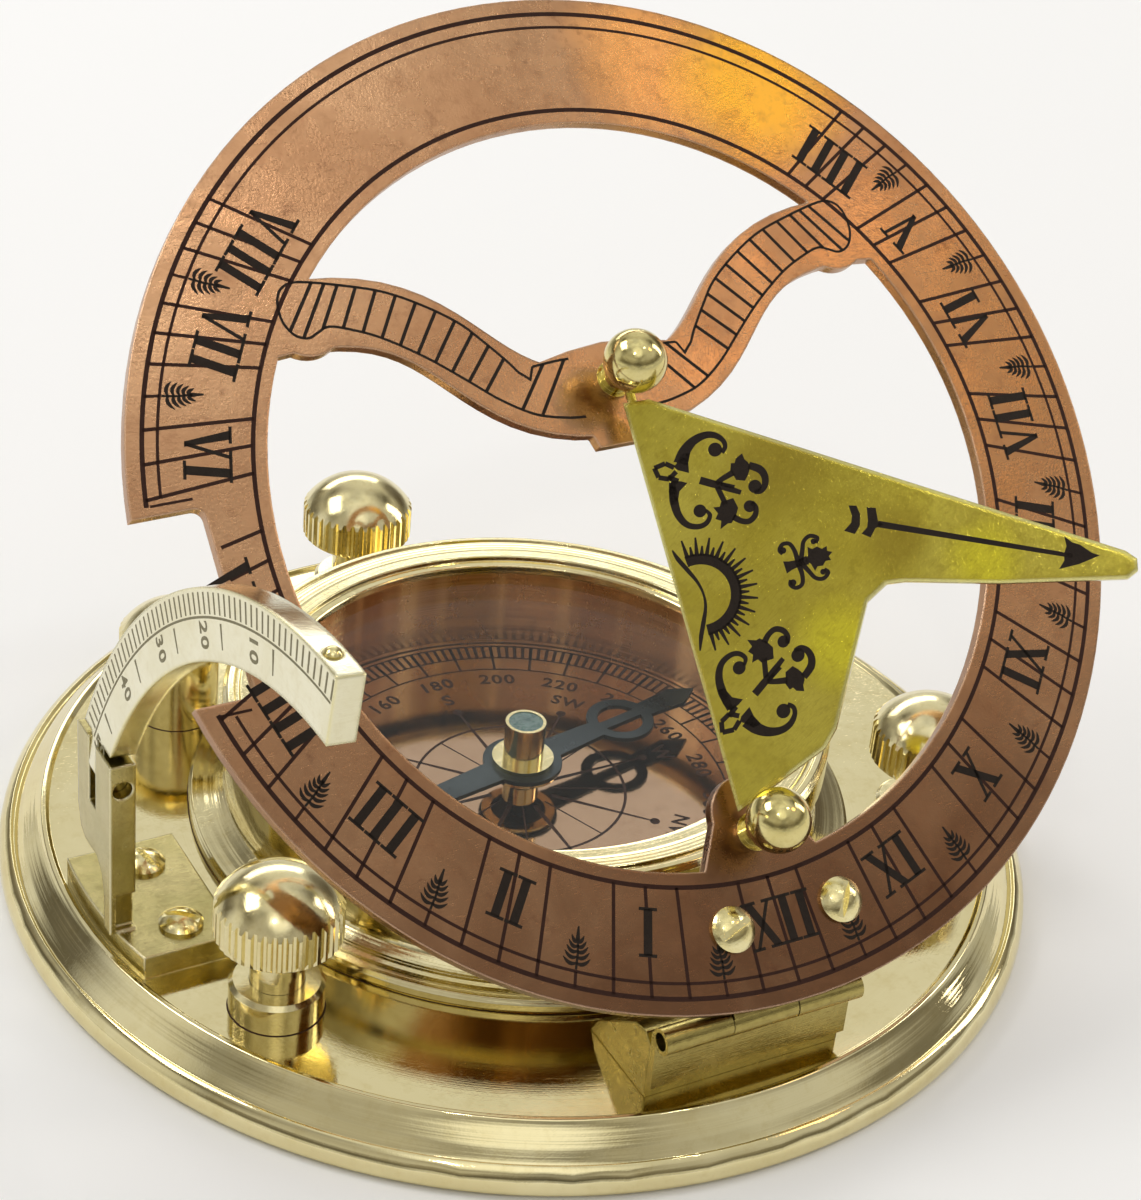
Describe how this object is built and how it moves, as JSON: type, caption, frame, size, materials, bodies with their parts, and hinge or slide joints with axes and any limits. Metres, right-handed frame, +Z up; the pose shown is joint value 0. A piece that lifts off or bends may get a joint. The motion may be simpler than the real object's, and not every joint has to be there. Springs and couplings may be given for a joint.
{
  "type": "sundial compass",
  "caption": "Hinged hour ring with a folding shadow pointer over a glazed compass on a round levelling base, set to latitude along a folding arc.",
  "frame": {"origin": "centre of the round base's flat underside", "axes": "+Z up, -Y towards the hinge of the hour ring, -X towards the latitude arc"},
  "size_m": [0.127, 0.127, 0.0989],
  "materials": {
    "polished_brass": "mirror polished, warm reflections",
    "pale_brass": "polished, pale",
    "yellow_brass": "satin, etched and filled black",
    "dark_brass": "antiqued",
    "antique_copper": "antiqued copper colour, engraved and filled dark",
    "copper_dial": "polished, etched",
    "dark_needle": "blued",
    "teal_cap": "satin",
    "glass": "clear"
  },
  "bodies": {
    "base": {"base_plate": "polished_brass", "compass_bowl": "polished_brass", "bowl_bezel": "polished_brass", "glass_retaining_ring": "polished_brass", "compass_glass": "glass", "compass_dial": "copper_dial", "needle_pivot": "polished_brass", "levelling_posts": "polished_brass", "clamp_post": "polished_brass", "arc_bracket": "pale_brass", "arc_bracket_screws": "pale_brass", "arc_pivot_pin": "polished_brass", "hinge_block": "antique_copper", "hinge_fixed_leaf": "dark_brass", "hinge_pin": "dark_brass"},
    "needle": {"compass_needle": "dark_needle", "needle_collar": "polished_brass", "needle_boss": "polished_brass", "boss_cap": "teal_cap"},
    "dial_ring": {"hour_ring": "antique_copper", "hinge_ring_leaf": "dark_brass", "ring_screws": "dark_brass", "gnomon_ball_posts": "polished_brass"},
    "pointer": {"gnomon": "yellow_brass"},
    "arc": {"latitude_arc": "pale_brass", "arc_stop_pin": "pale_brass"},
    "clamp_shaft": {"clamp_stud": "polished_brass"},
    "clamp_head": {"clamp_knob": "polished_brass"},
    "screw_left": {"levelling_screw_left": "polished_brass"},
    "knob_left": {"levelling_knob_left": "polished_brass"},
    "screw_back": {"levelling_screw_back": "polished_brass"},
    "knob_back": {"levelling_knob_back": "polished_brass"},
    "screw_right": {"levelling_screw_right": "polished_brass"},
    "knob_right": {"levelling_knob_right": "polished_brass"}
  },
  "joints": [
    {"name": "ring_tilt", "type": "hinge", "parent": "base", "child": "dial_ring", "pos_m": [0, -0.0555, 0.0159], "axis": [1, 0, 0], "range_deg": [-23, 47]},
    {"name": "gnomon_fold", "type": "hinge", "parent": "dial_ring", "child": "pointer", "pos_m": [0.0039, -0.01658, 0.06067], "axis": [0, 0.7314, 0.682], "range_deg": [-145, 35]},
    {"name": "arc_fold", "type": "hinge", "parent": "base", "child": "arc", "pos_m": [-0.0556, -0.0042, 0.0293], "axis": [0, 1, 0], "range_deg": [-95.4, 2.6]},
    {"name": "needle_turn", "type": "hinge", "parent": "base", "child": "needle", "pos_m": [0, 0, 0.012], "axis": [0, 0, 1], "continuous": true},
    {"name": "foot_slide_left", "type": "slide", "parent": "base", "child": "screw_left", "axis": [0, 0, 1], "range_m": [-0.0048, 0]},
    {"name": "knob_turn_left", "type": "hinge", "parent": "screw_left", "child": "knob_left", "pos_m": [-0.04308, -0.02438, 0.0212], "axis": [0, 0, 1], "range_deg": [-2162, 0]},
    {"name": "foot_slide_back", "type": "slide", "parent": "base", "child": "screw_back", "axis": [0, 0, 1], "range_m": [-0.0048, 0]},
    {"name": "knob_turn_back", "type": "hinge", "parent": "screw_back", "child": "knob_back", "pos_m": [0, 0.0495, 0.0212], "axis": [0, 0, 1], "range_deg": [-2162, 0]},
    {"name": "foot_slide_right", "type": "slide", "parent": "base", "child": "screw_right", "axis": [0, 0, 1], "range_m": [-0.0048, 0]},
    {"name": "knob_turn_right", "type": "hinge", "parent": "screw_right", "child": "knob_right", "pos_m": [0.04371, -0.02324, 0.0212], "axis": [0, 0, 1], "range_deg": [-2162, 0]},
    {"name": "clamp_slide", "type": "slide", "parent": "base", "child": "clamp_shaft", "axis": [0, 0, 1], "range_m": [0, 0.004]},
    {"name": "clamp_turn", "type": "hinge", "parent": "clamp_shaft", "child": "clamp_head", "pos_m": [-0.03216, 0.03331, 0.0167], "axis": [0, 0, 1], "range_deg": [0, 1802]}
  ],
  "couplings": [
    {"joint": "knob_turn_left", "follows": "foot_slide_left", "rad_per_m": 7854},
    {"joint": "knob_turn_back", "follows": "foot_slide_back", "rad_per_m": 7854},
    {"joint": "knob_turn_right", "follows": "foot_slide_right", "rad_per_m": 7854},
    {"joint": "clamp_turn", "follows": "clamp_slide", "rad_per_m": 7854}
  ]
}
